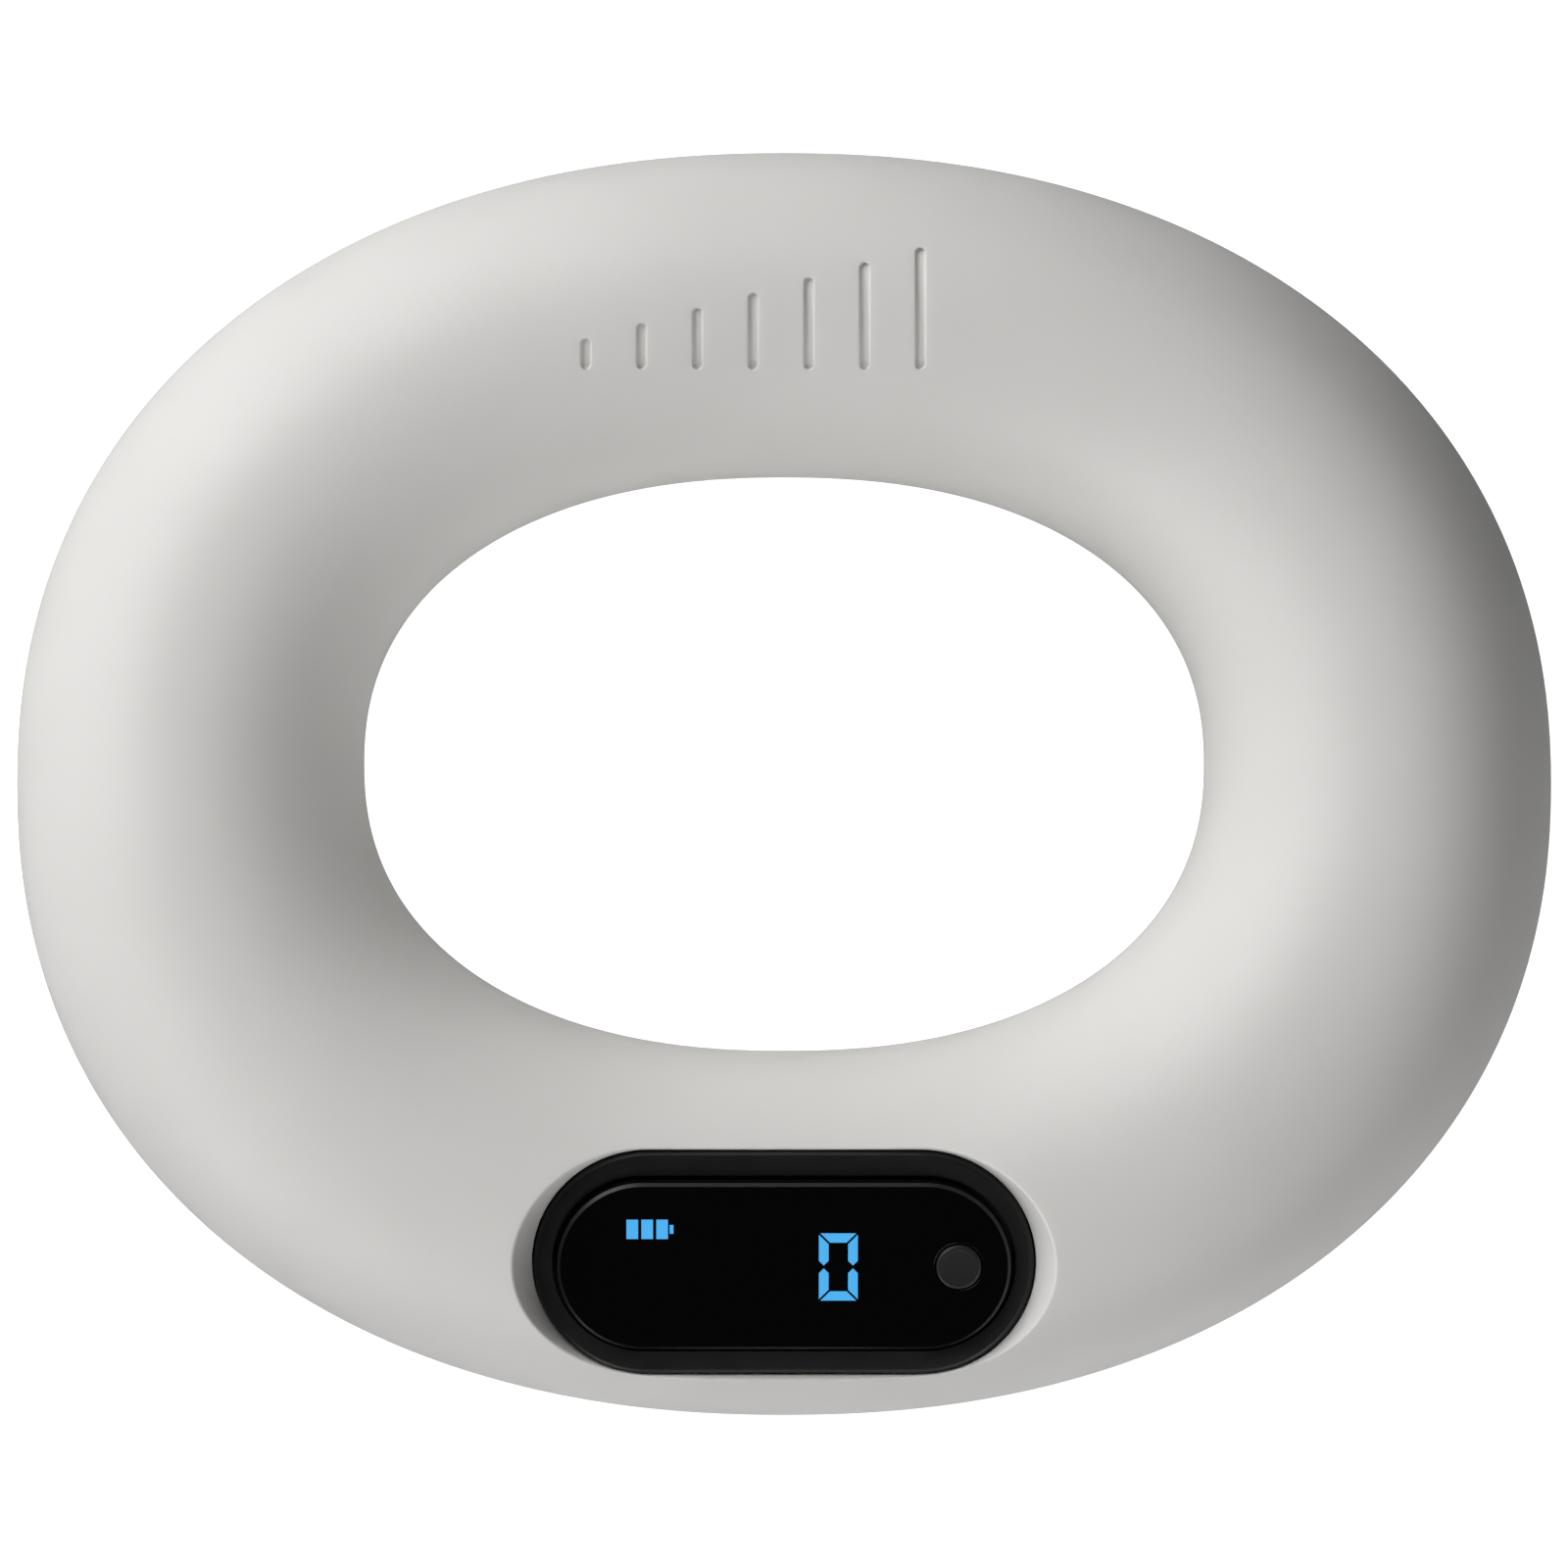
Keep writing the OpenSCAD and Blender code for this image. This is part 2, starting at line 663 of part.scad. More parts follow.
grip_ring();
spring_hoop();
strain_gauges();
gauge_flex();
contact_block();
contact_springs();
upper_case();
front_panel();
panel_tape();
lit_bars();
dark_bars();
charge_bars();
light_baffle();
bar_leds();
main_board();
controller_chip();
gauge_amplifier();
charger_chip();
board_parts();
tact_switch();
button_gasket();
pouch_cell();
cell_pads();
rear_case();
case_seal();
case_screws();
contact_studs();
stud_flex();
button_cap();
switch_plunger();
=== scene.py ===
# Looks of the hand dynamometer: a silicone grip ring with a display module in its lower band.
# Every piece stands in the frame's own place, in metres.

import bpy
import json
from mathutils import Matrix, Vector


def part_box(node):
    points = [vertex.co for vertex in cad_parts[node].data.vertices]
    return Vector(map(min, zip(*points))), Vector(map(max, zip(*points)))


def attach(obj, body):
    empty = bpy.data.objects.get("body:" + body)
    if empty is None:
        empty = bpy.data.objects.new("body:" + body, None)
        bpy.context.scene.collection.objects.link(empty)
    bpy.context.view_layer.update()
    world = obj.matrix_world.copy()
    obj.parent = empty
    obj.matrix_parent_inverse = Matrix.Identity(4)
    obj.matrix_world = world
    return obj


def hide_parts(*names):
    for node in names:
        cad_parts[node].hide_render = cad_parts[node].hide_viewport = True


bl_info = {
    "name": "Hand Dynamometer",
    "version": (1, 0, 0),
    "blender": (4, 5, 0),
    "location": "3D View > Sidebar > Dynamometer",
    "description": "Builds the grip ring, the display module and the stage round the packed frame",
    "category": "Object",
}

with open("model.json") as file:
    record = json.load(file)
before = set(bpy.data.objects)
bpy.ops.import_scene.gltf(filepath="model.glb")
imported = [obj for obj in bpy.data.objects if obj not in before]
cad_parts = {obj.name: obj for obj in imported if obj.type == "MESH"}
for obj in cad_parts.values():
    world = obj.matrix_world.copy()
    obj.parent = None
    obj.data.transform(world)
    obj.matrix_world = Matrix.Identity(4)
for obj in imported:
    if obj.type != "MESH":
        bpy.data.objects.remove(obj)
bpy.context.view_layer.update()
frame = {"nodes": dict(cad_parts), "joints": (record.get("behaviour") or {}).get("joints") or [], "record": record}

import json
import math

import bmesh
import bpy
from bpy.props import FloatProperty, FloatVectorProperty, IntProperty, PointerProperty
from mathutils import Matrix, Vector
from mathutils.bvhtree import BVHTree

MM = 0.001
RING_LOW, RING_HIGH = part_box("grip_ring")

# Points closer than this are one: in a new piece, in a CAD node's copy and in the plain torus
WELD = 1e-7
NODE_WELD = 1e-6
TORUS_WELD = 1e-5

# The module's frame: its Z axis is the way the module pulls out, which leans from the ring's front,
# and its origin is the middle of the bezel's face. The lit digit's middle has a fixed place in it.
RELEASE = next(j for j in frame["joints"] if j["name"] == "module_release")
PULL_AXIS = Vector(RELEASE["axis"]).normalized()
LEAN = math.atan2(-PULL_AXIS.y, PULL_AXIS.z)
LIT_DIGIT = Vector((3.35 * MM, 0.0, -0.5525 * MM))


def module_frame():
    """The module's frame as a matrix, found from the lit digit."""
    across = Vector((1.0, 0.0, 0.0))
    turn = Matrix((across, PULL_AXIS.cross(across), PULL_AXIS)).transposed()
    low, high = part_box("lit_bars")
    return Matrix.Translation((low + high) / 2 - turn @ LIT_DIGIT) @ turn.to_4x4()


MODULE = module_frame()


def length(name, description, default):
    """A size in metres."""
    return FloatProperty(
        name=name, description=description, default=default, min=0.0, precision=5,
        unit="LENGTH", subtype="DISTANCE",
    )


def offset(name, description, default):
    """A place in metres, to either side of a middle."""
    return FloatProperty(
        name=name, description=description, default=default, precision=5,
        unit="LENGTH", subtype="DISTANCE",
    )


def colour(name, description, default):
    """A linear colour."""
    return FloatVectorProperty(
        name=name, description=description, default=default, size=3, min=0.0, max=1.0,
        subtype="COLOR",
    )


# ---------------------------------------------------------------- sizes and colours


class DynoRingSizes(bpy.types.PropertyGroup):
    width: length("Width", "Width of the ring, left to right", RING_HIGH.x - RING_LOW.x)
    height: length("Height", "Height of the ring, top to bottom", 79.0 * MM)
    thickness: length("Thickness", "Thickness of the ring, back to front", RING_HIGH.z)
    band_side: length("Side Band", "Width of the band at the left and at the right", 21.7 * MM)
    band_top: length("Top Band", "Width of the band at the top", 20.3 * MM)
    band_bottom: length("Bottom Band", "Width of the band at the bottom", 22.8 * MM)
    outline_round: FloatProperty(
        name="Outline Squareness", description="How square the outline is, 2 for an ellipse",
        default=2.18,
    )
    hole_round: FloatProperty(
        name="Hole Squareness", description="How square the finger hole is, 2 for an ellipse",
        default=2.25,
    )
    section_round: FloatProperty(
        name="Section Squareness", description="How square the band's cross-section is",
        default=2.2,
    )
    back_cut: length(
        "Back Cut", "How much of the round section the flat back takes away", 1.0 * MM
    )
    back_edge: length("Back Edge", "Rounding where the flat back begins", 0.9 * MM)
    around: IntProperty(
        name="Steps Around", description="Steps round the oval", default=320, min=32
    )
    across: IntProperty(
        name="Steps Across", description="Steps round the cross-section", default=112, min=16
    )
    mouth_slope: FloatProperty(
        name="Mouth Slope", description="How far the pocket's mouth flares for each unit up",
        default=0.46,
    )
    mouth_start: length(
        "Mouth Depth", "Depth under the module's face at which the flare begins", 0.2 * MM
    )
    mouth_edge: length("Mouth Edge", "Rounding of the mouth's edge", 0.17 * MM)
    pocket_gap: length("Pocket Gap", "Gap between the module and its pocket", 0.12 * MM)


class DynoMarkSizes(bpy.types.PropertyGroup):
    count: IntProperty(name="Strokes", description="Number of sunk strokes", default=7, min=1)
    stroke: length("Stroke Width", "Width of one stroke", 0.62 * MM)
    pitch: length("Stroke Pitch", "Distance from stroke to stroke", 3.43 * MM)
    shortest: length("Shortest Stroke", "Height of the first stroke", 1.9 * MM)
    tallest: length("Tallest Stroke", "Height of the last stroke", 7.5 * MM)
    depth: length("Depth", "Depth of the strokes", 0.36 * MM)
    edge: length("Edge", "Rounding of the strokes' edges", 0.09 * MM)
    centre_x: offset("Middle", "Middle of the row of strokes", -1.9 * MM)
    foot_y: length("Foot", "Height at which the strokes stand", 25.5 * MM)


class DynoModuleSizes(bpy.types.PropertyGroup):
    case_w: length("Length", "Length of the module", 30.9 * MM)
    case_h: length("Height", "Height of the module", 14.2 * MM)
    depth: length("Depth", "Depth of the module", 11.2 * MM)
    split: length("Split", "Depth at which the two case halves meet", 5.0 * MM)
    wall: length("Wall", "Wall of the case halves", 1.0 * MM)
    edge: length("Edge", "Rounding of the bezel's outer edge", 0.35 * MM)
    back_edge: length("Back Edge", "Rounding of the rear case's edge", 0.6 * MM)
    seam: length("Seam", "Chamfers where the two case halves meet", 0.1 * MM)
    bezel_end: length("Bezel End", "Width of the bezel at the module's ends", 1.17 * MM)
    bezel_side: length("Bezel Side", "Width of the bezel along the module's sides", 1.52 * MM)
    groove: length("Groove", "Groove between the panel and the bezel", 0.28 * MM)
    ledge_top: length("Ledge Top", "Depth of the ledge that carries the panel", 0.8 * MM)
    ledge_bottom: length("Ledge Bottom", "Depth of the ledge's underside", 1.5 * MM)
    ledge_w: length("Ledge Width", "How far the ledge reaches under the panel", 0.55 * MM)
    panel_proud: length(
        "Panel Height", "How far the panel stands in front of the bezel", 0.8 * MM
    )
    panel_edge: length("Panel Edge", "Chamfer of the panel", 0.19 * MM)
    panel_bottom: length("Panel Bottom", "Depth of the panel's underside", 0.65 * MM)
    button_x: offset("Button Place", "Place of the push button along the panel", 10.78 * MM)
    button_d: length("Button Diameter", "Diameter of the push button", 2.8 * MM)
    button_gap: length("Button Gap", "Gap round the push button", 0.08 * MM)
    button_proud: length(
        "Button Height", "How far the push button stands in front of the panel", 0.2 * MM
    )
    block: FloatVectorProperty(
        name="Contact Block", description="Size of the contact block in the pocket's floor",
        default=(6.5 * MM, 3.4 * MM, 2.0 * MM), size=3, unit="LENGTH", subtype="XYZ",
    )
    block_x: offset("Block Place", "Place of the contact block along the module", -10.65 * MM)


class DynoFinishes(bpy.types.PropertyGroup):
    silicone: colour("Silicone", "Colour of the grip ring", (0.80, 0.79, 0.77))
    silicone_shade: colour(
        "Silicone Shade", "Colour of the grip ring's slightly darker patches", (0.77, 0.76, 0.74)
    )
    case: colour("Case", "Colour of the case halves", (0.0103, 0.0103, 0.0101))
    panel: colour("Panel", "Colour of the glossy panel", (0.0025, 0.0025, 0.003))
    button: colour("Button", "Colour of the push button", (0.0139, 0.0139, 0.0139))
    glow: colour("Glow", "Colour of the lit bars", (0.079, 0.445, 0.888))


class DynoStage(bpy.types.PropertyGroup):
    camera_distance: length(
        "Camera Distance", "Distance from the camera to the middle of the ring", 750 * MM
    )
    view_width: length(
        "View Width", "Width that the camera sees at the middle of the ring", 98.16 * MM
    )
    floor_size: length("Floor Size", "Length of the floor's sides", 6.0)
    floor: colour("Floor", "Colour of the floor", (0.9, 0.9, 0.9))
    bounce: FloatProperty(
        name="Bounce", description="Brightness of the light from below", default=0.923, min=0.0
    )
    card: FloatProperty(
        name="Card", description="Brightness of the reflector round the set", default=0.28, min=0.0
    )


GROUPS = {
    "dyno_ring": DynoRingSizes,
    "dyno_mark": DynoMarkSizes,
    "dyno_module": DynoModuleSizes,
    "dyno_finish": DynoFinishes,
    "dyno_stage": DynoStage,
}


# The record's material slots and their materials, filled by main
FINISHES = {}


# ---------------------------------------------------------------- mesh helpers


def signed_power(value, squareness):
    """A sine or cosine drawn towards a square corner, 2 for none."""
    return math.copysign(abs(value) ** (2.0 / squareness), value)


def stadium(straight, half, level, arc=48, side=28):
    """Points round a stadium outline, two half circles joined by straights."""
    points = []
    for sign in (1, -1):
        for k in range(arc + 1):
            a = math.pi * (k / arc - 0.5)
            x, y = straight / 2 + half * math.cos(a), half * math.sin(a)
            points.append(Vector((sign * x, sign * y, level)))
        for k in range(1, side):
            points.append(Vector((sign * straight * (0.5 - k / side), sign * half, level)))
    return points


def loop_edges(bm, verts):
    """The edges round a closed loop of verts, in the loop's order."""
    return [bm.edges.get(pair) for pair in zip(verts, verts[1:] + verts[:1])]


def loft(bm, rows, caps=True):
    """Draws a closed skin through rows of points: one circle, extruded from row to row."""
    circle = bmesh.ops.create_circle(bm, cap_ends=False, radius=1.0, segments=len(rows[0]))
    verts = circle["verts"]
    edges = first = loop_edges(bm, verts)
    for v, point in zip(verts, rows[0]):
        v.co = point
    for row in rows[1:]:
        made = bmesh.ops.extrude_edge_only(bm, edges=edges)["geom"]
        fresh = {g for g in made if isinstance(g, bmesh.types.BMVert)}
        verts = [
            next(e.other_vert(v) for e in v.link_edges if e.other_vert(v) in fresh) for v in verts
        ]
        edges = loop_edges(bm, verts)
        for v, point in zip(verts, row):
            v.co = point
    if caps:
        for rim in (first, edges):
            bmesh.ops.triangle_fill(bm, use_beauty=True, use_dissolve=False, edges=rim)
    bmesh.ops.remove_doubles(bm, verts=bm.verts, dist=WELD)


def outward(co, straight):
    """Direction away from a stadium's spine at one of its points."""
    spine = Vector((max(-straight / 2, min(straight / 2, co.x)), 0.0, 0.0))
    away = Vector((co.x, co.y, 0.0)) - spine
    return away.normalized()


def quarter(radius, steps):
    """Inset and drop of the rows of a rounded edge, from the wall to the face."""
    angles = [math.pi / 2 * k / steps for k in range(steps + 1)]
    return [(radius * (1 - math.cos(a)), radius * (1 - math.sin(a))) for a in angles]


def full_spin(bm, geom, steps):
    """Turns verts and edges once round the Z axis into a closed skin."""
    bmesh.ops.spin(
        bm, geom=geom, cent=(0, 0, 0), axis=(0, 0, 1), angle=2 * math.pi, steps=steps,
        use_merge=True,
    )


def lathe(bm, profile, place, steps=96):
    """Turns a profile of radius and level round the Z axis of a place."""
    verts = [bm.verts.new((r, 0.0, z)) for r, z in profile]
    edges = [bm.edges.new(pair) for pair in zip(verts, verts[1:])]
    full_spin(bm, verts + edges, steps)
    bmesh.ops.remove_doubles(bm, verts=bm.verts, dist=WELD)
    bmesh.ops.transform(bm, matrix=place, verts=bm.verts)


def settle_order(bm):
    """Numbers points, edges and faces by where they are, so that every run gives the same mesh."""

    def sort(elements, key):
        rank = {element: k for k, element in enumerate(sorted(elements, key=key))}
        elements.sort(key=rank.get)
        elements.index_update()

    sort(bm.verts, lambda v: v.co[:])
    for elements in (bm.edges, bm.faces):
        sort(elements, lambda element: sorted(v.index for v in element.verts))


def finish_shading(bm, sharp=math.radians(32)):
    """Smooth shading, broken at the edges that turn more than an angle."""
    for face in bm.faces:
        face.smooth = True
    for edge in bm.edges:
        edge.smooth = edge.calc_face_angle(math.pi) < sharp


def mesh_object(name, bm):
    """An object in the scene with the bmesh as its mesh."""
    mesh = bpy.data.meshes.new(name)
    bm.to_mesh(mesh)
    bm.free()
    obj = bpy.data.objects.new(name, mesh)
    bpy.context.scene.collection.objects.link(obj)
    return obj


def shell(name, bm):
    """A mesh object from a closed bmesh, with its faces turned outwards."""
    bmesh.ops.remove_doubles(bm, verts=bm.verts, dist=WELD)
    settle_order(bm)
    bmesh.ops.recalc_face_normals(bm, faces=bm.faces)
    finish_shading(bm)
    return mesh_object(name, bm)


def node_copy(node, stretch=0.0):
    """A merged copy of a CAD node, its front drawn out along the module's axis by the stretch."""
    bm = bmesh.new()
    bm.from_mesh(frame["nodes"][node].data)
    bmesh.ops.remove_doubles(bm, verts=bm.verts, dist=NODE_WELD)
    to_module = MODULE.inverted()
    front = [v for v in bm.verts if (to_module @ v.co).z > 0]
    bmesh.ops.translate(bm, verts=front, vec=PULL_AXIS * stretch)
    return mesh_object("cutter_" + node, bm)


def carve(obj, cutters, operation="DIFFERENCE"):
    """Cuts a piece with the cutters, or trims it to them, and removes them."""
    for cutter in cutters:
        cut = obj.modifiers.new(cutter.name, "BOOLEAN")
        cut.operation, cut.solver, cut.object = operation, "MANIFOLD", cutter
    bpy.context.view_layer.update()
    graph = bpy.context.evaluated_depsgraph_get()
    mesh = bpy.data.meshes.new_from_object(obj.evaluated_get(graph))
    obj.modifiers.clear()
    obj.data = mesh
    for cutter in cutters:
        bpy.data.objects.remove(cutter)
    bm = bmesh.new()
    bm.from_mesh(mesh)
    if not bm.faces or any(not e.is_manifold for e in bm.edges):
        raise RuntimeError(f"{obj.name} is not closed after its cuts")
    settle_order(bm)
    finish_shading(bm)
    bm.to_mesh(mesh)
    bm.free()


def even_shading(obj):
    """Lets the broad flat faces set the shading, so that only the edges look rounded."""
    weighted = obj.modifiers.new("even_shading", "WEIGHTED_NORMAL")
    weighted.mode, weighted.weight, weighted.keep_sharp = "FACE_AREA", 50, True


def place_piece(obj, body, slot, node):
    """Gives a piece its finish and its body, and hides the CAD node it stands in for."""
    obj.data.materials.clear()
    obj.data.materials.append(FINISHES[slot])
    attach(obj, body)
    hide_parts(node)


# ---------------------------------------------------------------- material helpers


# Most of a noise's values lie between these
SPREAD = (0.3, 0.7)
RAMP_SOCKETS = ("From Min", "From Max", "To Min", "To Max")
WHITE = (1.0, 1.0, 1.0, 1.0)


class Finish:
    """A node material with one Principled shader, whose patterns lie on object coordinates."""

    def __init__(self, name, base, rough, metal=0.0, **constants):
        self.material = bpy.data.materials.new(name)
        self.material.use_nodes = True
        self.tree = self.material.node_tree
        self.tree.nodes.clear()
        output = self.tree.nodes.new("ShaderNodeOutputMaterial")
        self.shader = self.tree.nodes.new("ShaderNodeBsdfPrincipled")
        self.tree.links.new(self.shader.outputs[0], output.inputs["Surface"])
        self.set("Base Color", (*base, 1.0))
        self.set("Roughness", rough)
        self.set("Metallic", metal)
        for socket, value in constants.items():
            self.set(socket.replace("_", " "), value)
        self.place = self.tree.nodes.new("ShaderNodeTexCoord").outputs["Object"]
        self.bump = None

    def set(self, socket, value):
        """Sets a constant on the shader's own socket."""
        self.shader.inputs[socket].default_value = value

    def node(self, kind, **values):
        """A new node with its own settings."""
        made = self.tree.nodes.new(kind)
        for key, value in values.items():
            setattr(made, key, value)
        return made

    def mapped(self, stretch=(1.0, 1.0, 1.0), lean=0.0):
        """Object coordinates squeezed along each axis and leant about X."""
        mapping = self.node("ShaderNodeMapping")
        mapping.inputs["Scale"].default_value = stretch
        mapping.inputs["Rotation"].default_value = (-lean, 0.0, 0.0)
        self.tree.links.new(self.place, mapping.inputs["Vector"])
        return mapping.outputs["Vector"]

    def noise(self, size, detail=3.0, vector=None, roughness=0.5):
        """Noise whose blotches are about size across."""
        made = self.node("ShaderNodeTexNoise")
        made.inputs["Scale"].default_value = 1.0 / size
        made.inputs["Detail"].default_value = detail
        made.inputs["Roughness"].default_value = roughness
        self.tree.links.new(vector or self.place, made.inputs["Vector"])
        return made.outputs["Fac"]

    def cells(self, size):
        """Distance from the middle of cells about size across."""
        made = self.node("ShaderNodeTexVoronoi", feature="F1")
        made.inputs["Scale"].default_value = 1.0 / size
        self.tree.links.new(self.place, made.inputs["Vector"])
        return made.outputs["Distance"]

    def ramp(self, value, low, high, start=0.0, end=1.0):
        """Maps a value from low..high to start..end."""
        made = self.node("ShaderNodeMapRange")
        for socket, number in zip(RAMP_SOCKETS, (low, high, start, end)):
            made.inputs[socket].default_value = number
        self.tree.links.new(value, made.inputs["Value"])
        return made.outputs["Result"]

    def colour_from(self, value, first, second):
        """Colours the surface from the first to the second colour as the value goes from 0 to 1."""
        made = self.node("ShaderNodeMix", data_type="RGBA")
        made.inputs["A"].default_value = (*first, 1.0)
        made.inputs["B"].default_value = (*second, 1.0)
        self.tree.links.new(value, made.inputs["Factor"])
        self.tree.links.new(made.outputs["Result"], self.shader.inputs["Base Color"])

    def rough_from(self, noise, start, end):
        """Lets a noise carry the roughness from start to end."""
        rough = self.ramp(noise, *SPREAD, start, end)
        self.tree.links.new(rough, self.shader.inputs["Roughness"])

    def relief(self, value, depth, strength=1.0):
        """Adds a bump of a depth in metres on top of the ones before."""
        made = self.node("ShaderNodeBump")
        made.inputs["Strength"].default_value = strength
        made.inputs["Distance"].default_value = depth
        self.tree.links.new(value, made.inputs["Height"])
        if self.bump is not None:
            self.tree.links.new(self.bump, made.inputs["Normal"])
        self.bump = made.outputs["Normal"]
        self.tree.links.new(self.bump, self.shader.inputs["Normal"])


def silicone_finish(colours):
    """Matt, slightly see-through silicone with faint patches, ripples and a fine grain."""
    f = Finish(
        "soft_silicone", colours.silicone, 0.52, Subsurface_Weight=0.12, Subsurface_Scale=1.2 * MM,
        Specular_IOR_Level=0.42,
    )
    f.set("Subsurface Radius", (1.0, 0.85, 0.7))
    patches = f.ramp(f.noise(size=18 * MM, detail=2.0), 0.35, 0.65)
    f.colour_from(patches, colours.silicone, colours.silicone_shade)
    f.rough_from(f.noise(size=4 * MM, detail=4.0), 0.46, 0.58)
    ripples, grain = f.noise(size=2.6 * MM, detail=1.0), f.noise(size=0.16 * MM, detail=2.0)
    f.relief(ripples, depth=0.010 * MM, strength=0.5)
    f.relief(grain, depth=0.006 * MM, strength=0.55)
    return f.material


def case_finish(name, base, rough=0.36):
    """Satin moulded plastic with a fine spark texture."""
    f = Finish(name, base, rough, Specular_IOR_Level=0.3)
    f.rough_from(f.noise(size=3 * MM), rough - 0.04, rough + 0.05)
    f.relief(f.cells(size=0.11 * MM), depth=0.006 * MM, strength=0.55)
    f.relief(f.noise(size=0.05 * MM, detail=1.0), depth=0.002 * MM, strength=0.4)
    return f.material


def panel_finish(name, base):
    """Polished with faint wipe marks where it faces forward, ground on its chamfer and sides."""
    f = Finish(name, base, 0.05, Specular_IOR_Level=0.36)
    smears = f.noise(size=5 * MM, detail=4.0, vector=f.mapped((1.0, 0.35, 1.0)))
    wipe = f.ramp(smears, 0.45, 0.75, 0.035, 0.10)
    facing = f.node("ShaderNodeVectorMath", operation="DOT_PRODUCT")
    facing.inputs[1].default_value = PULL_AXIS
    f.tree.links.new(f.node("ShaderNodeNewGeometry").outputs["True Normal"], facing.inputs[0])
    ground = f.ramp(facing.outputs["Value"], 0.95, 0.8, 0.0, 0.28)
    rough = f.node("ShaderNodeMath", operation="ADD")
    f.tree.links.new(wipe, rough.inputs[0])
    f.tree.links.new(ground, rough.inputs[1])
    f.tree.links.new(rough.outputs[0], f.shader.inputs["Roughness"])
    f.relief(f.noise(size=2.2 * MM, detail=1.0), depth=0.0012 * MM, strength=0.35)
    return f.material


def glow_finish(colours):
    """A lit diffuser, dark but for its own light."""
    unlit = tuple(0.1 * c for c in colours.glow)
    f = Finish("lit_bar", unlit, 0.35, Emission_Strength=0.93, Specular_IOR_Level=0.3)
    f.set("Emission Color", (*colours.glow, 1.0))
    f.rough_from(f.noise(size=0.3 * MM), 0.25, 0.45)
    f.relief(f.noise(size=0.2 * MM), depth=0.002 * MM, strength=0.3)
    return f.material


def metal_finish(name, base, rough, brushed, scratch):
    """Plated or rolled metal; brushed is how far the marks are drawn out along each axis."""
    f = Finish(name, base, rough, metal=1.0)
    lines = f.noise(scratch * MM, detail=5.0, vector=f.mapped(brushed, LEAN), roughness=0.6)
    f.rough_from(lines, rough - 0.08, rough + 0.10)
    dull = tuple(0.82 * c for c in base)
    f.colour_from(f.ramp(f.noise(size=2.5 * MM), 0.4, 0.7), base, dull)
    f.relief(lines, depth=0.002 * MM, strength=0.4)
    return f.material


def film_finish():
    """Amber film with darker tracks under it."""
    amber, track = (0.62, 0.27, 0.05), (0.48, 0.17, 0.04)
    f = Finish("amber_film", amber, 0.28, Specular_IOR_Level=0.5)
    lines = f.node("ShaderNodeTexWave", wave_type="BANDS", bands_direction="X")
    lines.inputs["Scale"].default_value = 1.0 / (4.6 * MM)
    f.tree.links.new(f.place, lines.inputs["Vector"])
    tracks = f.ramp(lines.outputs["Fac"], 0.55, 0.65)
    f.colour_from(tracks, amber, track)
    f.relief(tracks, depth=0.01 * MM, strength=0.6)
    return f.material


def board_finish():
    """Green solder mask over a lattice of tracks."""
    f = Finish("solder_mask", (0.01, 0.11, 0.05), 0.3, Coat_Weight=0.3)
    lattice = f.node("ShaderNodeTexBrick", offset=0.5)
    lattice.inputs["Scale"].default_value = 1.0 / (2.2 * MM)
    lattice.inputs["Mortar Size"].default_value = 0.06
    f.tree.links.new(f.mapped(lean=LEAN), lattice.inputs["Vector"])
    tracks = lattice.outputs["Fac"]
    f.colour_from(tracks, (0.01, 0.10, 0.045), (0.03, 0.19, 0.08))
    f.relief(tracks, depth=0.02 * MM, strength=0.6)
    f.rough_from(f.noise(size=0.8 * MM), 0.24, 0.38)
    return f.material


def grain_finish(name, base, rough, grain, depth, other=None):
    """Moulded or foamed stuff with a grain of its own size."""
    f = Finish(name, base, rough)
    other = other or tuple(0.75 * c for c in base)
    f.colour_from(f.ramp(f.noise(grain * 3), 0.35, 0.7), base, other)
    f.rough_from(f.noise(grain * 6), rough - 0.06, rough + 0.06)
    f.relief(f.cells(grain), depth, strength=0.6)
    return f.material


def foil_finish():
    """Crumpled, embossed foil."""
    f = Finish("cell_foil", (0.66, 0.67, 0.69), 0.3, metal=1.0)
    f.rough_from(f.noise(size=1.2 * MM, detail=4.0), 0.22, 0.42)
    f.relief(f.noise(size=3.5 * MM, detail=4.0), depth=0.12 * MM, strength=0.5)
    f.relief(f.cells(size=0.35 * MM), depth=0.02 * MM, strength=0.5)
    return f.material


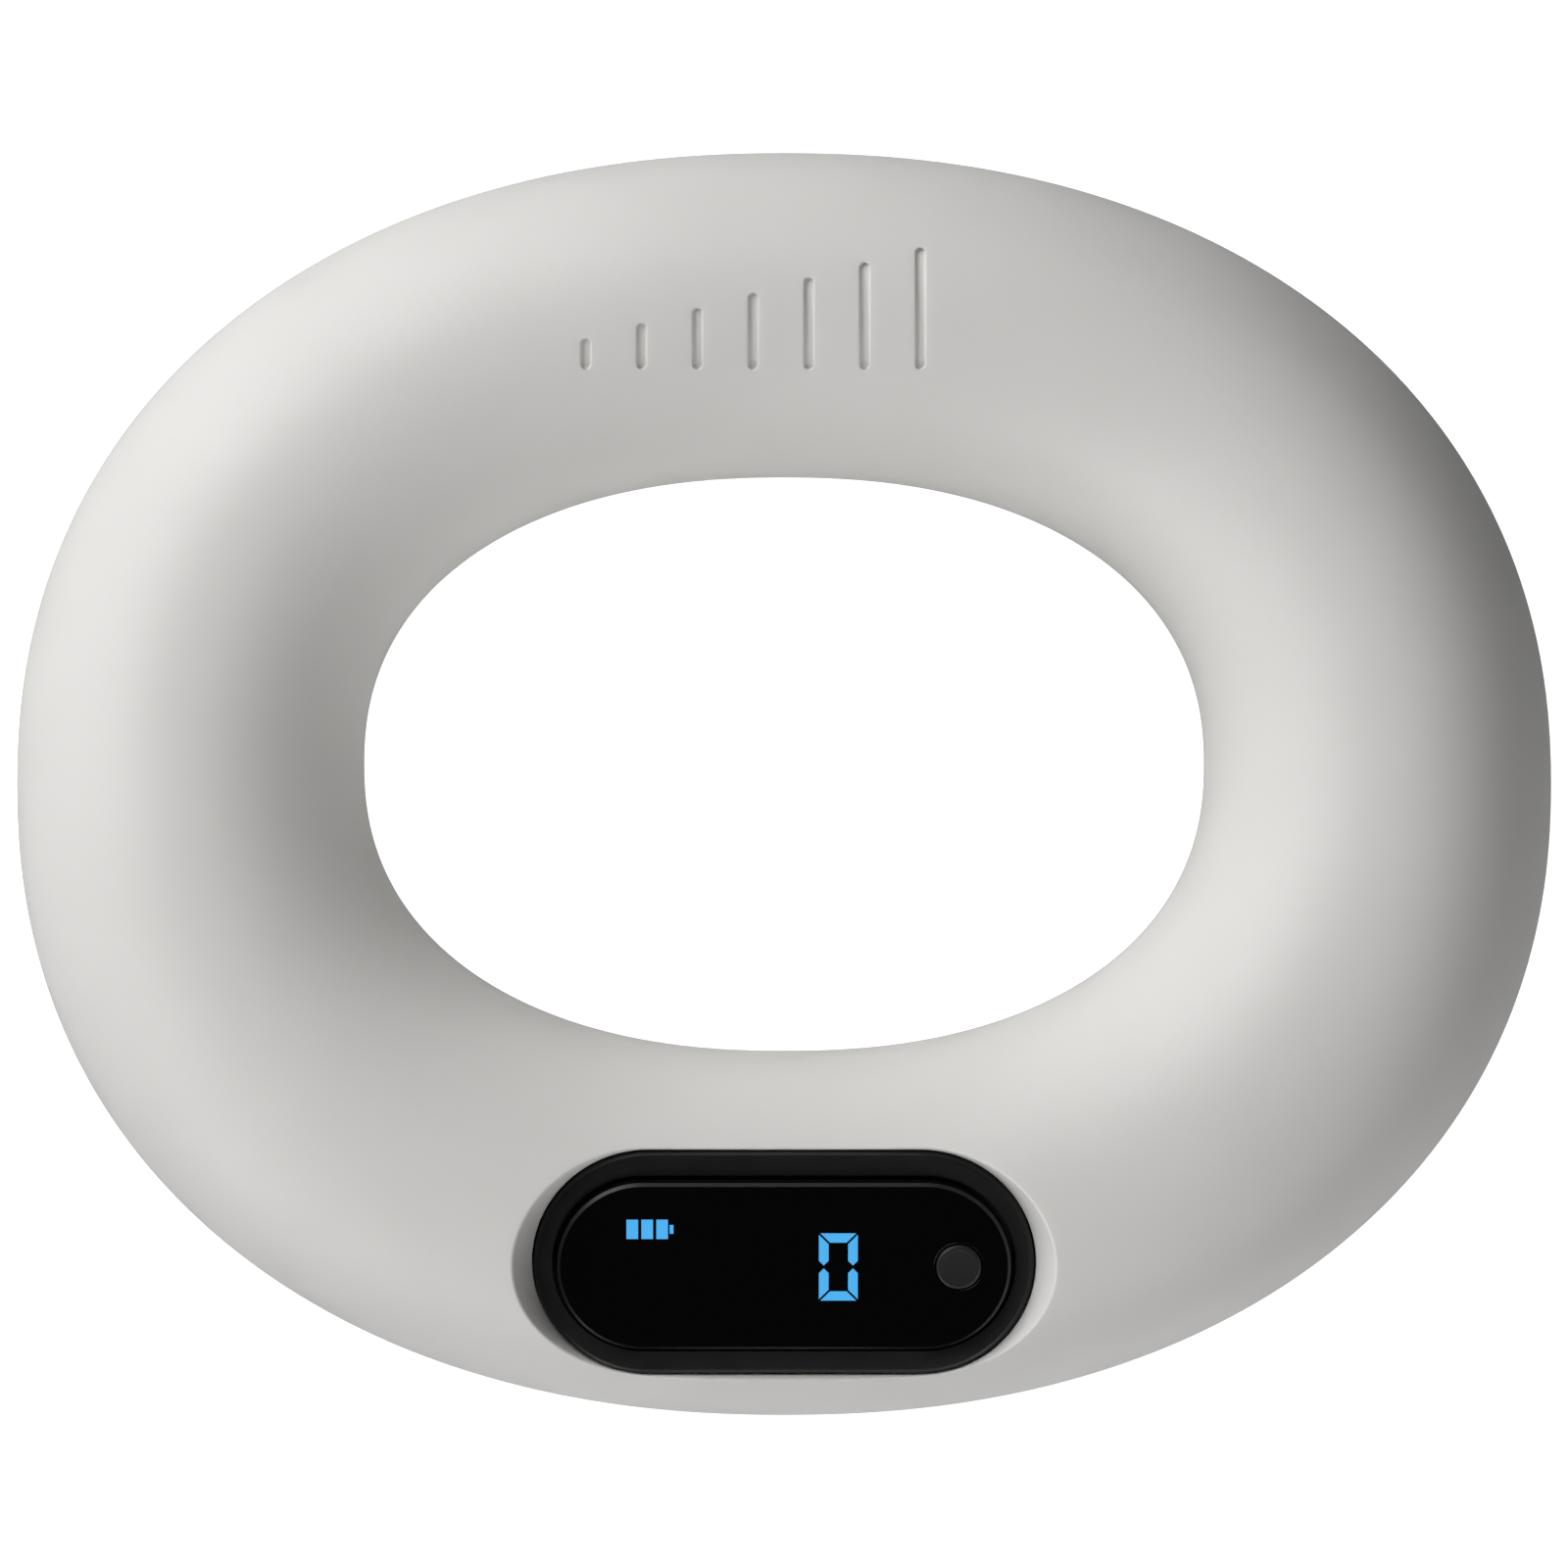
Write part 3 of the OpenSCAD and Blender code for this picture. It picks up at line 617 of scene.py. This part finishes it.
def all_finishes(colours):
    """One material for each slot of the record."""
    grains = {
        # slot: name, colour, roughness, grain, the grain's depth, and a second colour of its own
        "dark_plastic": ("dark_plastic", (0.035, 0.035, 0.038), 0.5, 0.12 * MM, 0.006 * MM),
        "foam": ("closed_foam", (0.035, 0.035, 0.037), 0.85, 0.22 * MM, 0.05 * MM),
        "led_chip": (
            "chip_ceramic", (0.62, 0.55, 0.36), 0.42, 0.15 * MM, 0.006 * MM, (0.7, 0.64, 0.46)
        ),
        "chip_black": ("moulded_epoxy", (0.022, 0.022, 0.024), 0.48, 0.09 * MM, 0.004 * MM),
        "seal_rubber": ("seal_rubber", (0.36, 0.06, 0.03), 0.62, 0.2 * MM, 0.006 * MM),
    }
    metals = {
        # slot: colour, roughness, how far the marks are drawn out, and their width in millimetres
        "spring_steel": ((0.52, 0.53, 0.55), 0.32, (0.15, 0.15, 1.6), 0.35),
        "gold_plate": ((0.83, 0.58, 0.22), 0.24, (1.0, 0.3, 1.0), 0.12),
        "screw_steel": ((0.55, 0.55, 0.56), 0.22, (1.0, 1.0, 0.2), 0.1),
    }
    return {
        "silicone": silicone_finish(colours),
        "case_plastic": case_finish("case_plastic", colours.case),
        "button_plastic": case_finish("button_plastic", colours.button, 0.42),
        "panel_gloss": panel_finish("panel_gloss", colours.panel),
        "lit_blue": glow_finish(colours),
        "flex_film": film_finish(),
        "board_green": board_finish(),
        "cell_foil": foil_finish(),
        **{slot: grain_finish(*values) for slot, values in grains.items()},
        **{slot: metal_finish(slot, *values) for slot, values in metals.items()},
    }


# ---------------------------------------------------------------- grip ring


# Radius of the plain torus, of unit section, that is drawn out into the oval ring
TORUS_RADIUS = 3.0
BACK_EDGE_STEPS = 4
# The pocket's room behind the module, the steps round its mouth's edge, how far its cutter stands
# off the ring's surface along that edge and past it, and how far in front of the module it ends
POCKET_FLOOR_GAP = 0.15 * MM
MOUTH_STEPS = 6
MOUTH_LIFT = 0.004 * MM
MOUTH_CLEAR = 0.4 * MM
POCKET_FRONT = 8 * MM
# The recess's room round the contact block
BLOCK_ROOM = Vector((0.2, 0.2, 0.3)) * MM
# How far the strokes' cutter stands in front of the ring and where its rounded edge starts above
# the surface, the rounding of a stroke's floor, and the height its rays are cast down from
MARK_CLEAR = 3 * MM
MARK_LIFT = 0.004 * MM
MARK_FLOOR_ROUND = 0.12 * MM
RAY_HEIGHT = 60 * MM


def ring_body(sizes):
    """The whole ring before its cuts."""
    bm = bmesh.new()
    section = Matrix.Translation((TORUS_RADIUS, 0.0, 0.0)) @ Matrix.Rotation(math.pi / 2, 4, "X")
    circle = bmesh.ops.create_circle(
        bm, cap_ends=False, radius=1.0, segments=sizes.across, matrix=section
    )
    loop = circle["verts"]
    full_spin(bm, loop + loop_edges(bm, loop), sizes.around)
    bmesh.ops.remove_doubles(bm, verts=bm.verts, dist=TORUS_WELD)
    half_z = (sizes.thickness + sizes.back_cut) / 2
    hole_w = sizes.width - 2 * sizes.band_side
    hole_h = sizes.height - sizes.band_top - sizes.band_bottom
    hole_y = (sizes.band_bottom - sizes.band_top) / 2

    def oval(t, w, h, squareness, y):
        """A point of an outline whose middle stands y above the ring's."""
        across, up = signed_power(math.cos(t), squareness), signed_power(math.sin(t), squareness)
        return Vector((w / 2 * across, y + h / 2 * up, 0.0))

    for v in bm.verts:
        t = math.atan2(v.co.y, v.co.x)
        u = signed_power(math.hypot(v.co.x, v.co.y) - TORUS_RADIUS, sizes.section_round)
        z = sizes.thickness - half_z + half_z * signed_power(v.co.z, sizes.section_round)
        outer = oval(t, sizes.width, sizes.height, sizes.outline_round, 0.0)
        inner = oval(t, hole_w, hole_h, sizes.hole_round, hole_y)
        v.co = (outer + inner) / 2 + (outer - inner) / 2 * u
        v.co.z = z
    bmesh.ops.bisect_plane(
        bm, geom=bm.verts[:] + bm.edges[:] + bm.faces[:], plane_co=(0, 0, 0),
        plane_no=(0, 0, -1), clear_outer=True,
    )
    rim = [e for e in bm.edges if e.is_boundary]
    bmesh.ops.bridge_loops(bm, edges=rim)
    bmesh.ops.bevel(
        bm, geom=rim, offset=sizes.back_edge, offset_type="OFFSET", segments=BACK_EDGE_STEPS,
        profile=0.5, affect="EDGES", material=-1, clamp_overlap=True,
    )
    bmesh.ops.recalc_face_normals(bm, faces=bm.faces)
    return bm


def pocket_cutter(sizes, module, tree):
    """The pocket's shape, with a flared mouth whose rounded edge follows the ring's surface."""
    straight = module.case_w - module.case_h
    half = module.case_h / 2 + sizes.pocket_gap
    turn, back = MODULE.to_3x3(), MODULE.inverted()
    start = stadium(straight, half, -sizes.mouth_start)
    rows = [stadium(straight, half, -module.depth - POCKET_FLOOR_GAP), start]
    lips = []
    for point in start:
        away = outward(point, straight)
        ray = (turn @ (away * sizes.mouth_slope + Vector((0, 0, 1)))).normalized()
        hit, normal, _, _ = tree.ray_cast(MODULE @ point, ray)
        if hit is None:
            raise RuntimeError("the pocket's mouth misses the ring's surface")
        side = turn @ away
        lips.append((hit, ray, normal, (side - side.dot(normal) * normal).normalized()))
    for k in range(MOUTH_STEPS + 1):
        s = k / MOUTH_STEPS
        row = []
        for hit, ray, normal, along in lips:
            turned = (1 - s) ** 2 * ray - s * s * along
            row.append(back @ (hit - sizes.mouth_edge * turned + MOUTH_LIFT * s * normal))
        rows.append(row)
    rows.append([
        back @ (hit + sizes.mouth_edge * along + MOUTH_CLEAR * normal)
        for hit, _, normal, along in lips
    ])
    rows.append([Vector((p.x, p.y, POCKET_FRONT)) for p in rows[-1]])
    bm = bmesh.new()
    loft(bm, rows)
    bmesh.ops.transform(bm, matrix=MODULE, verts=bm.verts)
    return shell("pocket_cutter", bm)


def block_cutter(module):
    """The recess for the contact block in the pocket's floor."""
    size = Vector(module.block) + BLOCK_ROOM
    middle = Vector((module.block_x, 0.0, -module.depth - size.z / 2))
    shape = MODULE @ Matrix.Translation(middle) @ Matrix.Diagonal((*size, 1.0))
    bm = bmesh.new()
    bmesh.ops.create_cube(bm, size=1.0, matrix=shape)
    return shell("block_cutter", bm)


def mark_cutter(mark, tree):
    """The row of sunk strokes, whose floors follow the ring's surface."""
    bm = bmesh.new()
    radius = mark.stroke / 2
    profile = [(-mark.edge, MARK_CLEAR)]
    profile += [(-drop, MARK_LIFT - inset) for inset, drop in quarter(mark.edge, 5)]
    profile += [(inset, drop - mark.depth) for inset, drop in quarter(MARK_FLOOR_ROUND, 4)]
    for k in range(mark.count):
        height = mark.shortest + (mark.tallest - mark.shortest) * k / max(1, mark.count - 1)
        x = mark.centre_x + (k - (mark.count - 1) / 2) * mark.pitch
        rows = []
        for inset, level in profile:
            row = []
            for p in stadium(height - mark.stroke, radius - inset, 0.0, arc=16, side=14):
                high = Vector((x - p.y, mark.foot_y + height / 2 + p.x, RAY_HEIGHT))
                hit, _, _, _ = tree.ray_cast(high, Vector((0, 0, -1)))
                if hit is None:
                    raise RuntimeError("a stroke misses the ring's surface")
                row.append(hit + Vector((0, 0, level)))
            rows.append(row)
        loft(bm, rows)
    return shell("mark_cutter", bm)


class DYNO_OT_grip_ring(bpy.types.Operator):
    """Makes the silicone grip ring with its pocket and its sunk strokes"""

    bl_idname = "dyno.grip_ring"
    bl_label = "Grip Ring"

    def execute(self, context):
        scene = context.scene
        bm = ring_body(scene.dyno_ring)
        tree = BVHTree.FromBMesh(bm)
        cutters = [
            pocket_cutter(scene.dyno_ring, scene.dyno_module, tree),
            block_cutter(scene.dyno_module),
            mark_cutter(scene.dyno_mark, tree),
            node_copy("spring_hoop"),
        ]
        ring = shell("silicone_ring", bm)
        carve(ring, cutters)
        even_shading(ring)
        place_piece(ring, "grip", "silicone", "grip_ring")
        return {"FINISHED"}


# ---------------------------------------------------------------- display module

# Rounding of the bezel's inner edge
BEZEL_LIP = 0.06 * MM
# How far the rear case is trimmed, at its wall and at its back, to true up its rounded ends
WALL_TRIM = 0.03 * MM
BACK_TRIM = 0.01 * MM
# How far the light bars' cutters are drawn out in front of the panel
BAR_STRETCH = 1 * MM
# The button's hole: the rounding of its edge, and where its cutter starts and ends
HOLE_EDGE = 0.1 * MM
HOLE_BACK = -2 * MM
HOLE_CLEAR = 1 * MM
# The button: its stem's radius and end, its flange and the gap above that, and its cap's rounding
STEM_RADIUS = 0.8 * MM
STEM_END = -1.25 * MM
FLANGE_WIDTH = 0.4 * MM
FLANGE_THICKNESS = 0.35 * MM
FLANGE_GAP = 0.05 * MM
CAP_EDGE = 0.2 * MM
# The dish of the cap: its depth, and the parts of the radius at which its rows stand
DISH = 0.05 * MM
DISH_ROWS = (0.78, 0.7, 0.6, 0.45, 0.3, 0.15)


class DYNO_OT_bezel(bpy.types.Operator):
    """Makes the front case half with its rounded bezel and the ledge under the panel"""

    bl_idname = "dyno.bezel"
    bl_label = "Bezel"

    def execute(self, context):
        m = context.scene.dyno_module
        outer = m.case_w - m.case_h
        inner = outer + 2 * (m.bezel_side - m.bezel_end)
        half, mouth = m.case_h / 2, m.case_h / 2 - m.bezel_side
        aperture = mouth - m.groove - m.ledge_w
        rows = [(outer, half - m.seam, -m.split), (outer, half, m.seam - m.split)]
        rows += [(outer, half - inset, -drop) for inset, drop in quarter(m.edge, 8)]
        rows += [(inner, mouth + drop, -inset) for inset, drop in quarter(BEZEL_LIP, 4)]
        rows += [(inner, mouth, -m.ledge_top), (inner, aperture, -m.ledge_top)]
        rows += [(inner, aperture, -m.ledge_bottom), (outer, half - m.wall, -m.ledge_bottom)]
        rows += [(outer, half - m.wall, -m.split), rows[0]]
        bm = bmesh.new()
        loft(bm, [stadium(*row) for row in rows], caps=False)
        bmesh.ops.transform(bm, matrix=MODULE, verts=bm.verts)
        bezel = shell("display_bezel", bm)
        even_shading(bezel)
        place_piece(bezel, "display_module", "case_plastic", "upper_case")
        return {"FINISHED"}


class DYNO_OT_rear_shell(bpy.types.Operator):
    """Makes the rear case half: the CAD half with a rounded back edge and a chamfer at the seam"""

    bl_idname = "dyno.rear_shell"
    bl_label = "Rear Case"

    def execute(self, context):
        m = context.scene.dyno_module
        straight, half = m.case_w - m.case_h, m.case_h / 2 - WALL_TRIM
        rounded = reversed(quarter(m.back_edge, 10))
        rows = [(half - inset, BACK_TRIM + drop - m.depth) for inset, drop in rounded]
        rows += [(half, -m.split - m.seam), (half - m.seam, -m.split), (half - m.seam, m.seam)]
        bm = bmesh.new()
        loft(bm, [stadium(straight, h, z) for h, z in rows])
        bmesh.ops.transform(bm, matrix=MODULE, verts=bm.verts)
        rear = node_copy("rear_case")
        rear.name = "rear_shell"
        carve(rear, [shell("rear_envelope", bm)], "INTERSECT")
        even_shading(rear)
        place_piece(rear, "display_module", "case_plastic", "rear_case")
        return {"FINISHED"}


class DYNO_OT_panel(bpy.types.Operator):
    """Makes the glossy panel, cut for the light bars and the button"""

    bl_idname = "dyno.panel"
    bl_label = "Glossy Panel"

    def execute(self, context):
        m = context.scene.dyno_module
        straight = m.case_w - m.case_h + 2 * (m.bezel_side - m.bezel_end)
        half = m.case_h / 2 - m.bezel_side - m.groove
        top, edge = m.panel_proud, m.panel_edge
        rows = [(half, -m.panel_bottom), (half, top - edge), (half - edge, top)]
        bm = bmesh.new()
        loft(bm, [stadium(straight, h, z) for h, z in rows])
        bmesh.ops.transform(bm, matrix=MODULE, verts=bm.verts)
        panel = shell("glossy_panel", bm)
        r = m.button_d / 2 + m.button_gap
        profile = [(0, HOLE_BACK), (r, HOLE_BACK), (r, top - HOLE_EDGE)]
        profile += [(r + inset, top - drop) for inset, drop in quarter(HOLE_EDGE, 5)[1:]]
        profile += [(r + HOLE_EDGE, top + HOLE_CLEAR), (0, top + HOLE_CLEAR)]
        bm = bmesh.new()
        lathe(bm, profile, MODULE @ Matrix.Translation((m.button_x, 0, 0)))
        cutters = [shell("button_hole", bm)]
        cutters += [node_copy(n, BAR_STRETCH) for n in ("lit_bars", "dark_bars", "charge_bars")]
        carve(panel, cutters)
        even_shading(panel)
        place_piece(panel, "display_module", "panel_gloss", "front_panel")
        return {"FINISHED"}


class DYNO_OT_button(bpy.types.Operator):
    """Makes the push button with its rounded, slightly dished cap"""

    bl_idname = "dyno.button"
    bl_label = "Push Button"

    def execute(self, context):
        m = context.scene.dyno_module
        r, top = m.button_d / 2, m.panel_proud + m.button_proud
        flange, under = r + FLANGE_WIDTH, -m.panel_bottom - FLANGE_GAP
        back = under - FLANGE_THICKNESS
        profile = [(0, STEM_END), (STEM_RADIUS, STEM_END), (STEM_RADIUS, back)]
        profile += [(flange, back), (flange, under), (r, under), (r, top - CAP_EDGE)]
        profile += [(r - inset, top - drop) for inset, drop in quarter(CAP_EDGE, 8)[1:]]
        profile += [(r * s, top - DISH * (1 - s * s)) for s in DISH_ROWS]
        profile.append((0, top - DISH))
        bm = bmesh.new()
        lathe(bm, profile, MODULE @ Matrix.Translation((m.button_x, 0, 0)))
        button = shell("push_button", bm)
        place_piece(button, "power_button", "button_plastic", "button_cap")
        return {"FINISHED"}


class DYNO_OT_inner_parts(bpy.types.Operator):
    """Gives every CAD node that stays its own finish"""

    bl_idname = "dyno.inner_parts"
    bl_label = "Inner Parts"

    def execute(self, context):
        for part in frame["record"]["subparts"]:
            mesh = frame["nodes"][part["node"]].data
            mesh.materials.clear()
            mesh.materials.append(FINISHES[part["material_slot"]])
        return {"FINISHED"}


# ---------------------------------------------------------------- stage

# Name, direction it comes from (degrees round from +X, degrees up), and strength in watts
SOFT_LIGHTS = (
    ("key_softbox", 150, 42, 4.36),
    ("top_softbox", 120, 42, 3.28),
    ("low_key_softbox", 150, 8, 2.00),
    ("low_top_softbox", 120, 8, 2.18),
    ("front_softbox", 300, 25, 3.64),
    ("low_front_softbox", 240, 8, 3.94),
)
SOFTBOX_SIZE = 0.8
SOFTBOX_DISTANCE = 1.0
# Heights of a unit direction at which the light from below starts and at which it is full
BOUNCE_TOP, BOUNCE_FULL = -0.45, -0.55
# Radius of the wall round the floor, as a part of the floor's side
WALL_RADIUS = 0.45
# The reflector: radius at its foot and at its top, height, and height of its middle, in metres
CARD_FOOT, CARD_TOP, CARD_HEIGHT, CARD_MIDDLE = 2.0, 1.9, 1.1, 0.85
# Width of the camera's sensor, in millimetres
SENSOR = 36.0


class DYNO_OT_stage(bpy.types.Operator):
    """Makes the pale floor, the soft lights and the camera"""

    bl_idname = "dyno.stage"
    bl_label = "Stage"

    def execute(self, context):
        scene = context.scene
        stage = scene.dyno_stage
        self.backdrop(stage)
        self.room(scene, stage)
        self.reflector(stage)
        middle = Vector((0.0, 0.0, RING_HIGH.z / 2))
        self.lamps(scene, middle)
        self.camera(scene, stage, middle)
        return {"FINISHED"}

    def backdrop(self, stage):
        """The floor and the wall round it, seen by the camera only."""
        bm = bmesh.new()
        bmesh.ops.create_grid(bm, x_segments=2, y_segments=2, size=stage.floor_size / 2)
        radius = stage.floor_size * WALL_RADIUS
        bmesh.ops.create_cone(
            bm, cap_ends=False, segments=64, radius1=radius, radius2=radius, depth=stage.floor_size
        )
        floor = shell("floor", bm)
        paint = Finish("pale_floor", stage.floor, 0.7, Emission_Strength=1.0)
        paint.set("Emission Color", WHITE)
        floor.data.materials.append(paint.material)
        floor.visible_diffuse = floor.visible_glossy = floor.visible_shadow = False

    def room(self, scene, stage):
        """The world, bright below the object and dark above."""
        world = bpy.data.worlds.new("pale_room")
        scene.world = world
        world.use_nodes = True
        tree = world.node_tree
        place = tree.nodes.new("ShaderNodeTexCoord").outputs["Generated"]
        height = tree.nodes.new("ShaderNodeSeparateXYZ")
        under = tree.nodes.new("ShaderNodeMapRange")
        for socket, value in zip(RAMP_SOCKETS, (BOUNCE_TOP, BOUNCE_FULL, 0.0, stage.bounce)):
            under.inputs[socket].default_value = value
        tree.links.new(place, height.inputs[0])
        tree.links.new(height.outputs["Z"], under.inputs["Value"])
        background = tree.nodes["Background"]
        tree.links.new(under.outputs["Result"], background.inputs["Strength"])
        background.inputs["Color"].default_value = WHITE
        world.cycles_visibility.glossy = False

    def reflector(self, stage):
        """The white card that shows in the glossy pieces only."""
        bm = bmesh.new()
        bmesh.ops.create_cone(
            bm, cap_ends=False, segments=96, radius1=CARD_FOOT, radius2=CARD_TOP,
            depth=CARD_HEIGHT, matrix=Matrix.Translation((0.0, 0.0, CARD_MIDDLE)),
        )
        card = shell("reflector_card", bm)
        paint = Finish("white_card", (0.8, 0.8, 0.8), 0.8, Emission_Strength=stage.card)
        paint.set("Emission Color", WHITE)
        card.data.materials.append(paint.material)
        card.visible_diffuse = card.visible_camera = card.visible_shadow = False

    def lamps(self, scene, middle):
        """The softboxes, each turned to the middle of the ring."""
        for name, around, up, strength in SOFT_LIGHTS:
            lamp = bpy.data.lights.new(name, "AREA")
            lamp.shape, lamp.size, lamp.energy = "DISK", SOFTBOX_SIZE, strength
            obj = bpy.data.objects.new(name, lamp)
            scene.collection.objects.link(obj)
            a, e = math.radians(around), math.radians(up)
            away = Vector((math.cos(a) * math.cos(e), math.sin(a) * math.cos(e), math.sin(e)))
            obj.location = middle + SOFTBOX_DISTANCE * away
            obj.rotation_mode = "QUATERNION"
            obj.rotation_quaternion = away.to_track_quat("Z", "Y")
            obj.visible_camera = False

    def camera(self, scene, stage, middle):
        """The camera, straight in front of the ring."""
        lens = bpy.data.cameras.new("camera")
        lens.sensor_width = SENSOR
        lens.lens = SENSOR * stage.camera_distance / stage.view_width
        lens.clip_start, lens.clip_end = 0.01, 20.0
        camera = bpy.data.objects.new("camera", lens)
        scene.collection.objects.link(camera)
        camera.location = middle + Vector((0.0, 0.0, stage.camera_distance))
        scene.camera = camera
        scene.view_settings.view_transform = "Standard"


class DYNO_PT_panel(bpy.types.Panel):
    """Lists the sizes and the pieces"""

    bl_idname = "DYNO_PT_panel"
    bl_label = "Hand Dynamometer"
    bl_space_type = "VIEW_3D"
    bl_region_type = "UI"
    bl_category = "Dynamometer"

    def draw(self, context):
        for group, kind in GROUPS.items():
            box = self.layout.box()
            for name in kind.__annotations__:
                box.prop(getattr(context.scene, group), name)
        for operator in OPERATORS:
            self.layout.operator(operator.bl_idname)


OPERATORS = (
    DYNO_OT_inner_parts,
    DYNO_OT_grip_ring,
    DYNO_OT_bezel,
    DYNO_OT_rear_shell,
    DYNO_OT_panel,
    DYNO_OT_button,
    DYNO_OT_stage,
)


def register():
    """Registers the classes and hangs the sizes and colours on the scene."""
    for kind in (*GROUPS.values(), *OPERATORS, DYNO_PT_panel):
        bpy.utils.register_class(kind)
    for name, kind in GROUPS.items():
        setattr(bpy.types.Scene, name, PointerProperty(type=kind))


def unregister():
    """Takes back what register did."""
    for name in GROUPS:
        delattr(bpy.types.Scene, name)
    for kind in reversed((*GROUPS.values(), *OPERATORS, DYNO_PT_panel)):
        bpy.utils.unregister_class(kind)


def main():
    register()
    FINISHES.update(all_finishes(bpy.context.scene.dyno_finish))
    bpy.ops.dyno.inner_parts()
    bpy.ops.dyno.grip_ring()
    bpy.ops.dyno.bezel()
    bpy.ops.dyno.rear_shell()
    bpy.ops.dyno.panel()
    bpy.ops.dyno.button()
    bpy.ops.dyno.stage()


if __name__ == "__main__":
    main()
